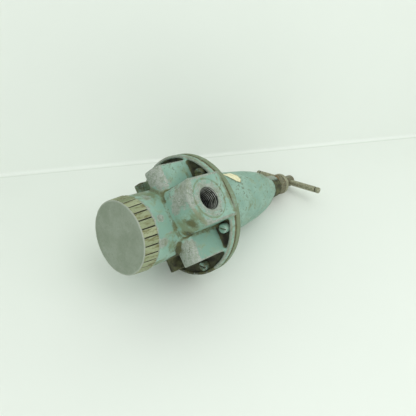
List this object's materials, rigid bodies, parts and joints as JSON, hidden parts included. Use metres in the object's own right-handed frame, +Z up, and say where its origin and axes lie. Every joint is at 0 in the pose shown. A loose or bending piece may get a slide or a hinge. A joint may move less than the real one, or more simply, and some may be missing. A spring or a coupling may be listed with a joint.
{
  "type": "pneumatic pressure regulator",
  "caption": "Diaphragm pressure regulator with threaded in-line ports, gauge bosses, ribbed bottom plug, tapered spring bonnet and a tee-bar adjusting screw.",
  "frame": {"origin": "centre of the bottom plug's flat outer face, on the regulator's axis", "axes": "+Z runs up the common axis from the plug face to the tee bar, +X out of the outlet port, +Y out of one gauge port"},
  "size_m": [0.1274, 0.1224, 0.285],
  "materials": {
    "painted_casting": "chipped turquoise enamel over grey die-cast metal",
    "plug_casting": "worn grey-green die-cast metal",
    "brass_trim": "turned brass",
    "steel_hardware": "weathered steel with light rust",
    "spring_steel": "drawn spring wire",
    "steel_plate": "pressed zinc-plated steel",
    "seal_rubber": "moulded nitrile rubber",
    "label_paper": "aged cream paper"
  },
  "bodies": {
    "housing": {"body": "painted_casting", "bonnet": "painted_casting", "bottom_plug": "plug_casting", "bonnet_screws": "painted_casting", "plug_oring": "seal_rubber", "poppet_oring": "seal_rubber", "stem_oring": "seal_rubber", "valve_seat": "brass_trim", "aspirator_tube": "brass_trim", "diaphragm_rim": "seal_rubber", "diaphragm_convolution": "seal_rubber", "valve_spring": "spring_steel", "range_spring": "spring_steel", "label_scrap": "label_paper"},
    "diaphragm_plates": {"diaphragm_center": "seal_rubber", "lower_plate": "steel_plate", "upper_plate": "steel_plate", "relief_seat": "brass_trim", "relief_nut": "brass_trim"},
    "valve": {"valve_poppet": "brass_trim", "poppet_seal": "seal_rubber", "valve_stem": "brass_trim"},
    "button": {"spring_button": "steel_plate", "thrust_ball": "spring_steel"},
    "screw": {"adjusting_screw": "steel_hardware", "tee_bar": "steel_hardware"},
    "collar": {"jam_collar": "steel_hardware"},
    "nut": {"lock_nut": "steel_hardware"}
  },
  "joints": [
    {"name": "diaphragm_stroke", "type": "slide", "parent": "housing", "child": "diaphragm_plates", "axis": [0, 0, 1], "range_m": [-0.0025, 0], "stiffness_N_per_m": 3000, "springref_m": 0.002, "deforming": ["diaphragm_convolution"]},
    {"name": "valve_stroke", "type": "slide", "parent": "housing", "child": "valve", "axis": [0, 0, 1], "range_m": [-0.0025, 0], "stiffness_N_per_m": 2000, "springref_m": 0.002, "deforming": ["valve_spring"]},
    {"name": "button_travel", "type": "slide", "parent": "housing", "child": "button", "axis": [0, 0, 1], "range_m": [-0.0035, 0.007], "deforming": ["range_spring"]},
    {"name": "tee_bar_turn", "type": "hinge", "parent": "button", "child": "screw", "pos_m": [0, 0, 0.24], "axis": [0, 0, 1], "range_deg": [-721, 1441]},
    {"name": "collar_lift", "type": "slide", "parent": "housing", "child": "collar", "axis": [0, 0, 1], "range_m": [0, 0.00175]},
    {"name": "lock_nut_turn", "type": "hinge", "parent": "collar", "child": "nut", "pos_m": [0, 0, 0.249], "axis": [0, 0, 1], "range_deg": [-1, 361]}
  ],
  "couplings": [
    {"joint": "valve_stroke", "follows": "diaphragm_stroke", "ratio": 1},
    {"joint": "tee_bar_turn", "follows": "button_travel", "rad_per_m": 3590.4},
    {"joint": "lock_nut_turn", "follows": "collar_lift", "rad_per_m": 3590.4}
  ]
}
